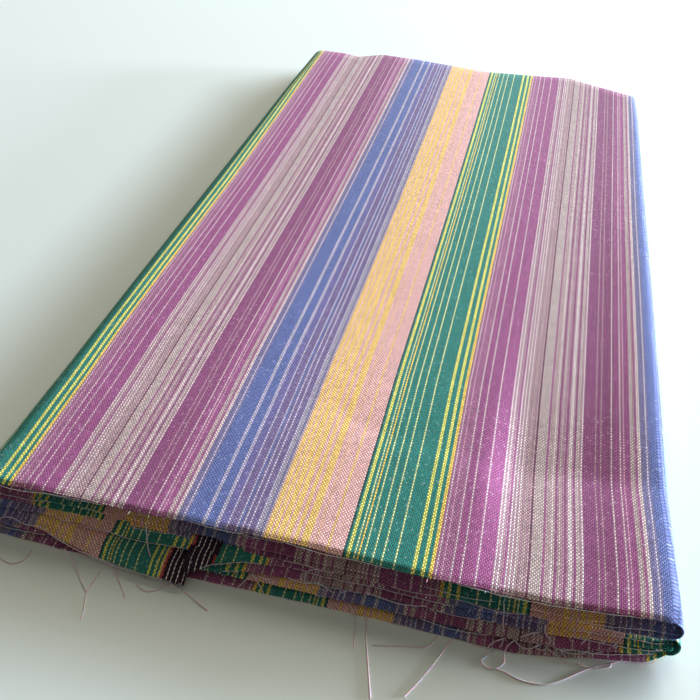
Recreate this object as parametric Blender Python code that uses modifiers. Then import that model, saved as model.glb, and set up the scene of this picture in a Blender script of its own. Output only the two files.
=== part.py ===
"""A folded length of hand-loomed striped cotton, with the weft yarns that ravel from its cut edge.

The cloth is doubled once across its length, so the fold lies at the far end and both cut edges
at the front. The doubled cloth is then folded back and forth across its width into four
layers, each of which is two thicknesses. Metres, +Z up, +Y away from the cut edges.
"""

import math

import bmesh
import bpy
import numpy as np
from mathutils import Vector

MM = 0.001

# Driving sizes of the pack
SHEET_THICKNESS = 1.2 * MM
LAYER_PITCH = 2.3 * MM          # from the middle of one thickness to the middle of the next
HALF_PITCH = LAYER_PITCH / 2
FIRST_LEVEL = SHEET_THICKNESS / 2
FOLD_SEGMENTS = 5
WRAP_SEGMENTS = 7
FAR_BEND_STEPS = 3
SELVAGE_LEFT_X = 106.5 * MM     # where the cloth's width starts, under the middle
SELVAGE_RIGHT_X = 103.0 * MM    # where it ends, on the same level
LOWER_FOLD_PROUD = 2.8 * MM     # the lower right fold reaches past the upper one
CUT_EDGE_SAG = 0.09             # share of its height that the pack loses at the cut edge
SAG_REACH = 60 * MM
# The top is slightly uneven: two slow waves, each a wavelength and where in it the pack begins
SWELL_SHARE = 0.025
SWELL_ACROSS = (239 * MM, 0.8)
SWELL_ALONG = (482 * MM, 0.5)

COTTON_COLOUR = (0.36, 0.20, 0.38)
COTTON_ROUGHNESS = 0.85
YARN_COLOUR = (0.62, 0.42, 0.56)
YARN_ROUGHNESS = 0.8

# Height of each doubled layer's middle, counted in pitches above the lowest thickness
LEVELS = {"bottom": 0.5, "middle": 2.5, "second": 4.5, "top": 6.5}

# Where the side folds lie at each distance from the front, in millimetres
SIDE_COLUMNS = ("y", "left", "right")
SIDES = (
    (-15, 0.5, 287.2),
    (0, 2.0, 287.0),
    (20, 4.9, 286.2),
    (65, 6.2, 284.3),
    (145, 6.6, 283.0),
    (280, 7.8, 281.6),
    (400, 8.8, 280.2),
    (470, 11.0, 277.0),
)

# The far fold at each place across the width, in millimetres
FAR_COLUMNS = ("x", "y")
FAR_EDGE = (
    (0, 470.0),
    (22, 471.5),
    (40, 469.5),
    (53, 465.0),
    (72, 474.0),
    (100, 470.5),
    (135, 463.5),
    (165, 457.5),
    (200, 458.0),
    (229, 459.0),
    (250, 448.0),
    (266, 440.5),
    (288, 431.0),
)
FAR_LOOK_UP = 440 * MM          # the side folds' place is read here for the far fold
FAR_OFFSETS = {"bottom": 1.5, "inner": -4.0, "third": -2.5, "second": -3.0, "top": 0.0}

# Cut edges at the front: y in millimetres of the upper and lower thickness of each doubled layer
CUT_COLUMNS = ("x", "upper", "lower")
CUT_EDGES = {
    "top": (
        (0, -2.5, -0.5), (40, -0.9, 1.0), (80, -0.6, 1.2), (105, 0.4, 2.0), (150, 0.9, 2.2),
        (200, -0.8, 1.0), (250, 0.4, 2.0), (272, 2.3, 3.6), (290, 2.6, 4.0),
    ),
    "second": (
        (0, -2.2, -3.4), (40, -1.6, -3.0), (80, -1.0, -2.4), (120, -1.4, -2.2),
        (160, -1.6, -2.8), (205, -1.2, -2.4), (250, -0.4, -1.6), (290, 1.6, 0.6),
    ),
    "third": (
        (0, -6.4, -8.6), (22, -6.6, -10.0), (38, -5.4, -10.6), (60, -6.6, -15.0),
        (75, -7.0, -17.2), (90, -6.6, -18.4), (106, -6.2, -19.2),
    ),
    "inner": (
        (105, -10.8, -12.0), (116, -9.6, -11.0), (128, -6.0, -8.4), (150, -3.8, -6.4),
        (205, -4.2, -6.0), (250, -3.0, -4.8), (290, -0.4, -2.4),
    ),
    "bottom": (
        (0, -11.8, -13.6), (30, -12.0, -14.8), (75, -12.2, -15.4), (110, -11.2, -14.2),
        (150, -10.2, -13.2), (185, -10.0, -13.0), (230, -9.8, -13.6), (255, -8.6, -11.6),
        (270, -5.8, -8.8), (290, -1.8, -4.6),
    ),
}
DROOP_START = -11.0 * MM        # the third layer's lower thickness hangs over from here
DROOP_DEPTH = 2.0 * MM
DROOP_REACH = 8.0 * MM

# Shares of the length at which each thickness has a row of points, from the cut edge
ROW_SHARES = (0.0, 0.012, 0.03, 0.07, 0.3, 0.62, 0.9, 1.0)

# The ravelled yarns, drawn by hand where they lie in front of the cut edge
YARN_SIDE = 0.6 * MM
YARN_STEP = 3.6 * MM
MERGE_DISTANCE = 0.01 * MM
RAVEL_GAP = 0.3 * MM
RAVEL_DEPTH = 2.0 * MM
RAVEL_THICKNESS = 0.9 * MM
RAVEL_LIFT = 0.12 * MM
RAVEL_SPAN = (30 * MM, 272 * MM)
RAVEL_SEGMENTS = 22
# Each route starts in the ravelled edge at the first number, and then runs through (x, y) in millimetres
YARN_ROUTES = {
    "left_arc": (44, (41, -19.5), (36, -25), (29, -26), (21, -24)),
    "fork_left": (52, (54, -19.5), (60, -22.5), (65, -27), (66, -32)),
    "fork_right": (78, (75, -21), (72, -27), (72.5, -37)),
    "short_left": (84, (85, -22), (87.5, -29)),
    "long_sweep": (94, (96, -19.5), (102, -22), (110, -23), (118, -26)),
    "under_selvage": (111, (114, -18.5), (118, -19), (123, -20.5)),
    "short_middle": (128, (132, -18), (138, -19.5)),
    "middle_drop": (168, (171, -17.5), (173, -20.5), (174, -26)),
    "long_forward": (179, (179.5, -19), (181, -28), (184, -36), (185.5, -42)),
    "floor_arc": (203, (202, -19), (197, -23), (189, -24)),
    "long_back": (212, (211, -19), (208, -26), (203, -33), (196, -39)),
    "loop": (226, (224, -18.5), (221, -22), (223.5, -25), (229, -24), (232, -19.5)),
    "right_arc": (239, (238, -19), (241, -23), (248, -22), (255, -18)),
    "right_tail": (266, (267.5, -15), (265.5, -20), (259, -23)),
}


def smooth_step(share):
    share = min(max(share, 0.0), 1.0)
    return share * share * (3 - 2 * share)


def column(rows, names, name):
    at = names.index(name)
    return [row[at] for row in rows]


def side_x(y, side):
    """The x of the pack's left or right fold at this distance from the front."""
    return MM * float(np.interp(y / MM, column(SIDES, SIDE_COLUMNS, "y"), column(SIDES, SIDE_COLUMNS, side)))


def far_y(x, layer):
    base = np.interp(x / MM, column(FAR_EDGE, FAR_COLUMNS, "x"), column(FAR_EDGE, FAR_COLUMNS, "y"))
    return MM * (float(base) + FAR_OFFSETS[layer])


def cut_y(x, layer, side):
    rows = CUT_EDGES[layer]
    return MM * float(np.interp(x / MM, column(rows, CUT_COLUMNS, "x"), column(rows, CUT_COLUMNS, side)))


def level(name):
    return FIRST_LEVEL + LEVELS[name] * LAYER_PITCH


# Radii of the doubled cloth's middle line in its folds
SMALL_FOLD = (level("top") - level("second")) / 2
WRAP_FOLD = (level("top") - level("bottom")) / 2


def left_centre(y):
    return side_x(y, "left") + SHEET_THICKNESS / 2 + HALF_PITCH + WRAP_FOLD


def right_centre(y, lower=False):
    proud = LOWER_FOLD_PROUD if lower else 0
    return side_x(y, "right") + proud - SHEET_THICKNESS / 2 - HALF_PITCH - SMALL_FOLD


# The doubled cloth's path across its width, from selvage to selvage. A run goes from one end to
# the other at its level. A fold turns about its centre, clockwise but for the inner left one.
PATH = (
    {"kind": "run", "layer": "inner", "level": "middle", "ends": ("selvage_left", "lower_right"), "steps": 6},
    {"kind": "fold", "at": "lower_right", "from": "inner", "to": "bottom", "steps": FOLD_SEGMENTS},
    {"kind": "run", "layer": "bottom", "level": "bottom", "ends": ("lower_right", "left"), "steps": 9},
    {"kind": "fold", "at": "left", "from": "bottom", "to": "top", "steps": WRAP_SEGMENTS},
    {"kind": "run", "layer": "top", "level": "top", "ends": ("left", "upper_right"), "steps": 9},
    {"kind": "fold", "at": "upper_right", "from": "top", "to": "second", "steps": FOLD_SEGMENTS},
    {"kind": "run", "layer": "second", "level": "second", "ends": ("upper_right", "left"), "steps": 9},
    {"kind": "fold", "at": "left", "from": "second", "to": "third", "steps": FOLD_SEGMENTS},
    {"kind": "run", "layer": "third", "level": "middle", "ends": ("left", "selvage_right"), "steps": 5},
)
FOLD_LEVELS = {"inner": "middle", "third": "middle", "bottom": "bottom", "second": "second", "top": "top"}


def end_x(name, y):
    """The x at which a run starts or ends, at this distance from the front."""
    if name == "selvage_left":
        return SELVAGE_LEFT_X
    if name == "selvage_right":
        return SELVAGE_RIGHT_X
    if name == "left":
        return left_centre(y)
    return right_centre(y, lower=name == "lower_right")


def columns_of_path():
    """One entry for each line of points across the path: the piece of path and the share along it."""
    found = []
    for piece in PATH:
        first = 1 if found else 0
        for step in range(first, piece["steps"] + 1):
            found.append((piece, step / piece["steps"]))
    return found


def middle_line(piece, share, y):
    """The (x, z) of the doubled cloth's middle and its left-hand normal, at this y."""
    if piece["kind"] == "run":
        start, end = (end_x(name, y) for name in piece["ends"])
        x = start + (end - start) * share
        facing = 1.0 if end > start else -1.0
        return x, level(piece["level"]), 0.0, facing
    low, high = level(FOLD_LEVELS[piece["from"]]), level(FOLD_LEVELS[piece["to"]])
    radius = abs(high - low) / 2
    outward = -1.0 if piece["at"] == "left" else 1.0
    upward = 1.0 if high > low else -1.0
    angle = math.pi * share
    x = end_x(piece["at"], y) + outward * radius * math.sin(angle)
    z = (low + high) / 2 - upward * radius * math.cos(angle)
    # The normal starts at the first run's, which is up for a run to the right
    clockwise = outward * upward < 0
    turn = 1.0 if clockwise else -1.0
    return x, z, turn * outward * math.sin(angle), -turn * upward * math.cos(angle)


def cut_of(piece, share, face):
    """The y of the cut edge on the outer (1) or inner (-1) face of the doubled cloth."""
    def of_run(layer, x, facing):
        side = "upper" if facing * face > 0 else "lower"
        return cut_y(x, layer, side)

    if piece["kind"] == "run":
        x, _, _, facing = middle_line(piece, share, 0.0)
        return of_run(piece["layer"], x, facing)
    x = end_x(piece["at"], 0.0)
    goes_right = {"inner": 1, "bottom": -1, "top": 1, "second": -1, "third": 1}
    first = of_run(piece["from"], x, goes_right[piece["from"]])
    last = of_run(piece["to"], x, goes_right[piece["to"]])
    return first + (last - first) * smooth_step(share)


def far_of(piece, share):
    if piece["kind"] == "run":
        x = middle_line(piece, share, FAR_LOOK_UP)[0]
        return far_y(x, piece["layer"])
    x = end_x(piece["at"], FAR_LOOK_UP)
    first, last = far_y(x, piece["from"]), far_y(x, piece["to"])
    return first + (last - first) * smooth_step(share)


def wave(place, shape):
    length, start = shape
    return math.sin(2 * math.pi * place / length + start)


def settled(x, y, z):
    """The pack is pressed a little lower towards its cut edge, and is slightly uneven on top."""
    edge = 1 - CUT_EDGE_SAG * smooth_step((SAG_REACH - y) / SAG_REACH)
    swell = 1 + SWELL_SHARE * wave(x, SWELL_ACROSS) * wave(y, SWELL_ALONG)
    return FIRST_LEVEL + (z - FIRST_LEVEL) * edge * swell


def cloth_point(piece, share, face, along, bend):
    """A point of the sheet. face is 1 outside and -1 inside; bend is the turn round the far fold."""
    start, end = cut_of(piece, share, face), far_of(piece, share)
    y = start + (end - start) * along
    x, z, normal_x, normal_z = middle_line(piece, share, y)
    offset = HALF_PITCH * math.cos(bend)
    if bend == 0:
        offset = HALF_PITCH * face
    y += HALF_PITCH * math.sin(bend)
    x += normal_x * offset
    z += normal_z * offset
    if piece.get("layer") == "third" and face < 0 and bend == 0:
        z -= DROOP_DEPTH * smooth_step((DROOP_START - y) / DROOP_REACH)
    return Vector((x, y, settled(x, y, z)))


def new_material(name, colour, roughness):
    material = bpy.data.materials.new(name)
    material.use_nodes = True
    shader = material.node_tree.nodes["Principled BSDF"]
    shader.inputs["Base Color"].default_value = (*colour, 1)
    shader.inputs["Roughness"].default_value = roughness
    shader.inputs["Metallic"].default_value = 0.0
    return material


def add_object(name, mesh, material):
    obj = bpy.data.objects.new(name, mesh)
    obj.data.materials.append(material)
    bpy.data.collections["striped_cloth"].objects.link(obj)
    return obj


def sheet_mesh(name, across, rows, place):
    """A grid of points across by rows, each moved to where place(column, row) puts it."""
    bm = bmesh.new()
    bmesh.ops.create_grid(bm, x_segments=across - 1, y_segments=rows - 1, size=1)
    for vert in bm.verts:
        at_column = round((vert.co.x + 1) / 2 * (across - 1))
        at_row = round((vert.co.y + 1) / 2 * (rows - 1))
        vert.co = place(at_column, at_row)
    mesh = bpy.data.meshes.new(name)
    bm.to_mesh(mesh)
    bm.free()
    mesh.shade_smooth()
    return mesh


def thicken(obj, thickness):
    solid = obj.modifiers.new("Thickness", "SOLIDIFY")
    solid.thickness = thickness
    solid.offset = 0
    solid.use_even_offset = False


def make_cloth(material):
    columns = columns_of_path()
    outside = [(1, share, 0.0) for share in ROW_SHARES]
    turns = [math.pi * step / (FAR_BEND_STEPS + 1) for step in range(1, FAR_BEND_STEPS + 1)]
    bend = [(1, 1.0, turn) for turn in turns]
    inside = [(-1, share, 0.0) for share in reversed(ROW_SHARES)]
    rows = outside + bend + inside

    def place(at_column, at_row):
        piece, share = columns[at_column]
        face, along, turn = rows[at_row]
        return cloth_point(piece, share, face, along, turn)

    cloth = add_object("folded_cloth", sheet_mesh("folded_cloth", len(columns), len(rows), place), material)
    thicken(cloth, SHEET_THICKNESS)
    return cloth


def ravel_y(x):
    """The middle of the ravelled edge, just in front of the lowest thickness."""
    return cut_y(x, "bottom", "lower") - RAVEL_GAP - RAVEL_DEPTH / 2


def smooth_route(points):
    """Points a yarn step apart on a smooth curve through the route."""
    ends = [points[0]] + list(points) + [points[-1]]
    found = []
    for before, start, end, after in zip(ends, ends[1:], ends[2:], ends[3:]):
        steps = max(1, round((end - start).length / YARN_STEP))
        for step in range(steps):
            t = step / steps
            found.append(
                0.5 * (2 * start + (end - before) * t
                       + (2 * before - 5 * start + 4 * end - after) * t ** 2
                       + (3 * start - before - 3 * end + after) * t ** 3)
            )
    found.append(points[-1])
    return found


def yarn_tool(name, route):
    """One loose yarn: a square length that lies flat on the surface."""
    root = route[0] * MM
    height = YARN_SIDE / 2
    points = [Vector((root, ravel_y(root), height))]
    points += [Vector((x * MM, y * MM, height)) for x, y in route[1:]]
    curve = bpy.data.curves.new(name, "CURVE")
    curve.dimensions = "3D"
    curve.twist_mode = "Z_UP"
    curve.bevel_depth = YARN_SIDE / math.sqrt(2)
    curve.bevel_resolution = 0
    curve.use_fill_caps = True
    line = smooth_route(points)
    spline = curve.splines.new("POLY")
    spline.points.add(len(line) - 1)
    for point, co in zip(spline.points, line):
        point.co = (*co, 1)
        point.tilt = math.pi / 4
    guide = bpy.data.objects.new(name + "_guide", curve)
    bpy.context.scene.collection.objects.link(guide)
    evaluated = guide.evaluated_get(bpy.context.evaluated_depsgraph_get())
    mesh = bpy.data.meshes.new_from_object(evaluated)
    bpy.data.objects.remove(guide)
    bm = bmesh.new()
    bm.from_mesh(mesh)
    bmesh.ops.remove_doubles(bm, verts=bm.verts, dist=MERGE_DISTANCE)
    bmesh.ops.recalc_face_normals(bm, faces=bm.faces)
    bm.to_mesh(mesh)
    bm.free()
    tool = bpy.data.objects.new(name, mesh)
    tool.hide_render = True
    tool.display_type = "WIRE"
    bpy.data.collections["yarn_tools"].objects.link(tool)
    return tool


def make_ravelled_yarns(material):
    """The loose yarns stand apart in front of the cut edge, fused at their roots in a narrow strip."""
    first, last = RAVEL_SPAN
    middle = RAVEL_LIFT + RAVEL_THICKNESS / 2

    def place(at_column, at_row):
        x = first + (last - first) * at_column / RAVEL_SEGMENTS
        return Vector((x, ravel_y(x) + RAVEL_DEPTH * (at_row - 0.5), middle))

    yarns = add_object("ravelled_yarns", sheet_mesh("ravelled_yarns", RAVEL_SEGMENTS + 1, 2, place), material)
    thicken(yarns, RAVEL_THICKNESS)
    for name, route in YARN_ROUTES.items():
        join = yarns.modifiers.new(name, "BOOLEAN")
        join.operation = "UNION"
        join.solver = "EXACT"
        join.object = yarn_tool(name, route)
    return yarns


def centre_on_origin(pieces):
    """Stands the pack on z = 0 with the middle of its box at the origin."""
    bpy.context.view_layer.update()
    graph = bpy.context.evaluated_depsgraph_get()
    points = []
    for piece in pieces:
        mesh = piece.evaluated_get(graph).to_mesh()
        points += [vert.co.copy() for vert in mesh.vertices]
    low = Vector([min(point[axis] for point in points) for axis in range(3)])
    high = Vector([max(point[axis] for point in points) for axis in range(3)])
    middle = (low + high) / 2
    for obj in list(pieces) + list(bpy.data.collections["yarn_tools"].objects):
        obj.location = (-middle.x, -middle.y, -low.z)


def main():
    for obj in list(bpy.data.objects):
        bpy.data.objects.remove(obj)
    for name in ("striped_cloth", "yarn_tools"):
        collection = bpy.data.collections.new(name)
        bpy.context.scene.collection.children.link(collection)
    cotton = new_material("striped_cotton", COTTON_COLOUR, COTTON_ROUGHNESS)
    weft = new_material("weft_yarn", YARN_COLOUR, YARN_ROUGHNESS)
    cloth = make_cloth(cotton)
    yarns = make_ravelled_yarns(weft)
    centre_on_origin((cloth, yarns))


main()
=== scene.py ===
import math
import random

import bmesh
import bpy
import numpy as np
from mathutils import Matrix, Vector, noise


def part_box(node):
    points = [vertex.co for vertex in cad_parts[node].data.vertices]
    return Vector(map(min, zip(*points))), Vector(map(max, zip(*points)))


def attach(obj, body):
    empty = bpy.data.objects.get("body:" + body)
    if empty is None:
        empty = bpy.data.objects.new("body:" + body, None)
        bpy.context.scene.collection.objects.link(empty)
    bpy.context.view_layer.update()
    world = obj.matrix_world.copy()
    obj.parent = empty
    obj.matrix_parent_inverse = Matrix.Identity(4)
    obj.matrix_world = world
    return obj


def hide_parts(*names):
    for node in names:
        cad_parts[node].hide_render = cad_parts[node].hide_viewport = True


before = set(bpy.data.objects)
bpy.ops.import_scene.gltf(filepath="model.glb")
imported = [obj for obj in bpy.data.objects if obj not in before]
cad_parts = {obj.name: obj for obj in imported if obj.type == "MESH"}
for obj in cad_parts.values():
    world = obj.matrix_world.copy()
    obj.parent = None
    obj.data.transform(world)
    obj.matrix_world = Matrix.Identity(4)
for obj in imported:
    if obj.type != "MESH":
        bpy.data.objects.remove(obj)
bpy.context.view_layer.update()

mm = 0.001

# The tables below count millimetres from the pack's left front corner. The solids' frame has its
# origin in the middle of the whole box, and two known ends of the yarns' node give the shift.
yarnLow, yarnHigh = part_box("ravelled_yarns")
middleX = 272 * mm - yarnHigh.x
middleY = -42 * mm - yarnLow.y


def toFrame(x, y, z):
    return Vector((x - middleX, y - middleY, z))


def smoothStep(share):
    share = min(max(share, 0.0), 1.0)
    return share * share * (3 - 2 * share)


def fromTable(rows, place, column=1):
    # A value between the rows of a short table whose first column is the place
    return float(np.interp(place, [row[0] for row in rows], [row[column] for row in rows]))


def ripple(x, y, size, seed):
    return noise.noise(Vector((x / size, y / size, seed)))


# Camera

view = {
    "place": (0.06314, -0.3626, 0.26149),
    "right": (0.9675, 0.2527, -0.0126),
    "ahead": (-0.1939, 0.7083, -0.6787),
    "lens": 38.15,
}


def makeCamera():
    data = bpy.data.cameras.new("camera")
    data.lens = view["lens"]
    data.sensor_width = 36
    data.clip_start = 0.01
    camera = bpy.data.objects.new("camera", data)
    back = -Vector(view["ahead"]).normalized()
    right = Vector(view["right"])
    right = (right - back * right.dot(back)).normalized()
    up = back.cross(right)
    turn = Matrix((right, up, back)).transposed().to_4x4()
    camera.matrix_world = Matrix.Translation(Vector(view["place"])) @ turn
    bpy.context.scene.collection.objects.link(camera)
    bpy.context.scene.camera = camera


# Helpers for materials

def addNode(tree, kind, **values):
    node = tree.nodes.new(kind)
    for name, value in values.items():
        setattr(node, name, value)
    return node


def join(tree, value, socket):
    if isinstance(value, bpy.types.NodeSocket):
        tree.links.new(value, socket)
    else:
        socket.default_value = value


def calculate(tree, operation, *values):
    node = addNode(tree, "ShaderNodeMath", operation=operation)
    for value, socket in zip(values, node.inputs):
        join(tree, value, socket)
    return node.outputs[0]


def plus(tree, first, second):
    return calculate(tree, "ADD", first, second)


def minus(tree, first, second):
    return calculate(tree, "SUBTRACT", first, second)


def times(tree, first, second):
    return calculate(tree, "MULTIPLY", first, second)


def mixColours(tree, share, first, second, how="MIX"):
    node = addNode(tree, "ShaderNodeMix", data_type="RGBA", blend_type=how)
    join(tree, share, node.inputs[0])
    join(tree, first, node.inputs[6])
    join(tree, second, node.inputs[7])
    return node.outputs[2]


def softNoise(tree, vector, scale, detail=2.0):
    node = addNode(tree, "ShaderNodeTexNoise")
    tree.links.new(vector, node.inputs["Vector"])
    node.inputs["Scale"].default_value = scale
    node.inputs["Detail"].default_value = detail
    return node.outputs["Fac"]


def pairOf(tree, first, second):
    node = addNode(tree, "ShaderNodeCombineXYZ")
    tree.links.new(first, node.inputs[0])
    tree.links.new(second, node.inputs[1])
    return node.outputs[0]


def addBump(tree, height, distance, strength, under=None):
    bump = addNode(tree, "ShaderNodeBump")
    bump.inputs["Distance"].default_value = distance
    bump.inputs["Strength"].default_value = strength
    tree.links.new(height, bump.inputs["Height"])
    if under is not None:
        tree.links.new(under, bump.inputs["Normal"])
    return bump.outputs[0]


def dye(red, green, blue):
    # A colour as the eye reads it on a chart, made linear for the shader
    def linear(value):
        value /= 255
        return value / 12.92 if value <= 0.04045 else ((value + 0.055) / 1.055) ** 2.4
    return (linear(red), linear(green), linear(blue), 1)


# Stripes of the cloth. One repeat is 248 warp threads.

weave = {
    "repeat": 175.0,            # millimetres across the stripes
    "threads": 248,             # warp threads in one repeat
    "picks": 224,               # weft threads in the same length of warp
    "start": 24.0,              # where purple begins, from the left of the pack
    "leftSelvage": -523.0,
    "rightSelvage": 724.5,
    "selvageWidth": 12.0,
    "weft": dye(150, 96, 142),
    "weftShows": 0.25,          # share of its own colour in a weft crossing
    "doubledAt": 5.4,           # the inner thickness counts its picks back from here, in repeats
    "wander": 0.004,            # how far a pick strays from its line, in repeats
    # height of a crossing: middle, fall to the sides of the thread, fall to the sides of the pick
    "warpHeight": (1.0, 0.7, 0.5),
    "weftHeight": (0.45, 0.5, 0.6),
    "shade": (1.3, 0.56),       # painted light and shade of the weave's relief: brightness for each step of height, and at none
    "tone": (0.34, 0.16, 0.75),  # from the thread, from the pick, and at the least
    "crossingTone": (0.4, 0.8),
    "threadDrift": (9.0, 0.9),  # how fast tone drifts along a thread, and from one to the next
    "pickDrift": (6.0, 0.35),
}
# (depth, strength) of the weave's relief, and of the cloth's wide unevenness with its grain
relief = {"weave": (0.12 * mm, 0.55), "cockle": (0.6 * mm, 0.35), "cockleGrain": 14.0}
# White flecks of unspun cotton: the value above which they show, and how much
flecks = {
    "grain": 160.0,
    "soft": (0.76, 0.55),
    "crossing": (0.975, 0.2),
    "colour": dye(236, 224, 230),
}
cottonLook = {
    "Roughness": 0.9,
    "Sheen Weight": 0.06,
    "Sheen Roughness": 0.45,
    "Specular IOR Level": 0.15,
}
dyes = {
    "purple": dye(160, 88, 135),
    "softPurple": dye(163, 103, 138),
    "plum": dye(145, 80, 121),
    "mauve": dye(173, 131, 146),
    "greyMauve": dye(183, 154, 155),
    "silver": dye(190, 168, 166),
    "pale": dye(205, 176, 184),
    "rosePale": dye(195, 142, 167),
    "white": dye(213, 192, 192),
    "darkPlum": dye(115, 66, 91),
    "blue": dye(97, 113, 169),
    "dusk": dye(121, 114, 154),
    "violetBlue": dye(113, 109, 163),
    "violet": dye(121, 105, 148),
    "mist": dye(166, 156, 173),
    "lilac": dye(184, 174, 194),
    "yellow": dye(246, 201, 116),
    "gold": dye(240, 204, 96),
    "lemon": dye(227, 221, 112),
    "straw": dye(207, 216, 155),
    "peach": dye(233, 182, 146),
    "pink": dye(235, 182, 178),
    "teal": dye(33, 130, 118),
    "deepTeal": dye(19, 79, 69),
    "rust": dye(190, 70, 40),
    "black": dye(26, 20, 28),
    "chalk": dye(226, 214, 216),
    "ash": dye(200, 180, 190),
}
# (start in millimetres, dye)
bands = (
    (0, "softPurple"), (6.8, "purple"), (22.4, "mauve"), (29.4, "greyMauve"), (34.8, "silver"),
    (39.8, "greyMauve"), (43.6, "mauve"), (53.6, "plum"), (66.0, "purple"), (73.0, "mauve"),
    (77.2, "dusk"), (80.2, "blue"), (93.0, "violetBlue"), (96.9, "violet"), (107.6, "mist"),
    (110.9, "yellow"), (127.0, "pink"), (141.0, "teal"),
)
# (middle in millimetres, width, dye)
lines = (
    (1.1, 0.5, "pale"), (3.3, 0.5, "rosePale"), (6.4, 0.5, "pale"), (10.2, 0.5, "pale"),
    (15.7, 0.5, "pale"), (21.9, 0.7, "white"), (23.6, 0.7, "white"), (25.5, 0.7, "purple"),
    (26.8, 0.7, "white"), (28.0, 0.5, "white"), (29.0, 0.5, "white"), (30.8, 0.4, "mauve"),
    (33.0, 0.4, "mauve"), (34.5, 0.5, "darkPlum"), (39.4, 0.5, "purple"), (42.1, 0.9, "white"),
    (43.3, 0.9, "plum"), (45.0, 0.9, "silver"), (47.0, 0.9, "plum"), (48.2, 0.5, "white"),
    (49.2, 0.5, "white"), (50.2, 0.6, "plum"), (51.6, 0.9, "silver"), (53.2, 0.5, "white"),
    (58.6, 0.4, "mauve"), (61.2, 0.5, "mauve"), (65.3, 0.6, "pale"), (69.1, 0.5, "pale"),
    (70.1, 0.5, "rosePale"), (73.4, 0.9, "silver"), (74.8, 0.7, "purple"), (75.6, 0.5, "white"),
    (76.8, 0.6, "white"), (79.5, 0.9, "lilac"), (87.4, 1.4, "lilac"), (92.4, 1.4, "lilac"),
    (96.5, 0.9, "lilac"), (99.5, 0.6, "lilac"), (100.8, 0.9, "blue"), (102.0, 0.9, "lilac"),
    (104.3, 0.9, "lilac"), (107.1, 0.6, "lilac"), (109.0, 0.6, "dusk"), (110.2, 0.6, "peach"),
    (112.4, 0.6, "pink"), (114.9, 0.6, "pink"), (117.7, 0.9, "pink"), (120.7, 0.9, "pink"),
    (123.5, 1.6, "pink"), (125.6, 0.9, "yellow"), (129.7, 0.6, "peach"), (134.3, 0.7, "yellow"),
    (141.0, 0.5, "deepTeal"), (142.5, 1.4, "lemon"), (144.7, 0.5, "straw"), (146.4, 1.2, "gold"),
    (148.8, 0.5, "straw"), (151.8, 0.5, "straw"), (155.7, 0.5, "straw"), (160.8, 0.6, "straw"),
    (168.2, 1.4, "lemon"), (171.2, 1.4, "lemon"), (174.1, 1.4, "gold"),
)
selvageBands = (
    (0.0, "rust"), (0.07, "black"), (0.2, "chalk"), (0.235, "black"), (0.36, "chalk"),
    (0.395, "black"), (0.55, "chalk"), (0.585, "black"), (0.75, "ash"), (0.785, "black"),
)


def threadDyes():
    # The dye of each warp thread in one repeat
    found = []
    spacing = weave["repeat"] / weave["threads"]
    for thread in range(weave["threads"]):
        place = (thread + 0.5) * weave["repeat"] / weave["threads"]
        name = [band[1] for band in bands if band[0] <= place][-1]
        for middle, width, colour in lines:
            # even the thinnest line takes the nearest thread
            if abs(place - middle) <= max(width, spacing + 0.001) / 2:
                name = colour
        found.append(name)
    return found


def stripeRuns():
    # Neighbouring threads of one dye as (first thread, dye)
    threads = threadDyes()
    return [(at, name) for at, name in enumerate(threads) if at == 0 or threads[at - 1] != name]


def fillRamp(node, stops):
    ramp = node.color_ramp
    ramp.interpolation = "CONSTANT"
    ramp.elements.remove(ramp.elements[1])
    ramp.elements[0].position = stops[0][0]
    ramp.elements[0].color = stops[0][1]
    for position, colour in stops[1:]:
        element = ramp.elements.new(position)
        element.color = colour


def stripeColour(tree, repeatShare):
    # A ramp holds 32 stops at most, so several ramps share the repeat between them, each stretched
    # over its own part because a ramp is read in 256 steps
    stops = 30
    runs = [(at / weave["threads"], dyes[name]) for at, name in stripeRuns()]
    colour = None
    for first in range(0, len(runs), stops):
        node = addNode(tree, "ShaderNodeValToRGB")
        start = runs[first][0]
        end = runs[first + stops][0] if first + stops < len(runs) else 1.0
        length = end - start
        fillRamp(node, [((at - start) / length, shade) for at, shade in runs[first:first + stops]])
        inPart = calculate(tree, "DIVIDE", minus(tree, repeatShare, start), length)
        tree.links.new(inPart, node.inputs[0])
        if colour is None:
            colour = node.outputs[0]
        else:
            past = calculate(tree, "GREATER_THAN", repeatShare, start)
            colour = mixColours(tree, past, colour, node.outputs[0])
    return colour


def dipAcross(tree, place, whole):
    # None in the middle of a thread, and one at its sides
    away = calculate(tree, "ABSOLUTE", minus(tree, minus(tree, place, whole), 0.5))
    return times(tree, times(tree, away, away), 4.0)


def crossingHeight(tree, heights, threadDip, pickDip):
    middle, byThread, byPick = heights
    besideThread = minus(tree, middle, times(tree, threadDip, byThread))
    return minus(tree, besideThread, times(tree, pickDip, byPick))


def warpColour(tree, across, thread):
    # Which stripe a thread belongs to
    threads = float(weave["threads"])
    firstThread = weave["start"] / weave["repeat"] * weave["threads"]
    fromFirst = minus(tree, plus(tree, thread, 0.5), firstThread)
    inRepeat = calculate(tree, "FLOORED_MODULO", fromFirst, threads)
    warp = stripeColour(tree, calculate(tree, "DIVIDE", inRepeat, threads))

    # The two selvages
    pastRight = minus(tree, across, weave["rightSelvage"] / weave["repeat"])
    pastLeft = minus(tree, weave["leftSelvage"] / weave["repeat"], across)
    outside = calculate(tree, "MAXIMUM", pastRight, pastLeft)
    past = times(tree, outside, weave["repeat"] / weave["selvageWidth"])
    selvage = addNode(tree, "ShaderNodeValToRGB")
    fillRamp(selvage, [(at, dyes[name]) for at, name in selvageBands])
    tree.links.new(past, selvage.inputs[0])
    return mixColours(tree, calculate(tree, "GREATER_THAN", past, 0.0), warp, selvage.outputs[0])


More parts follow.
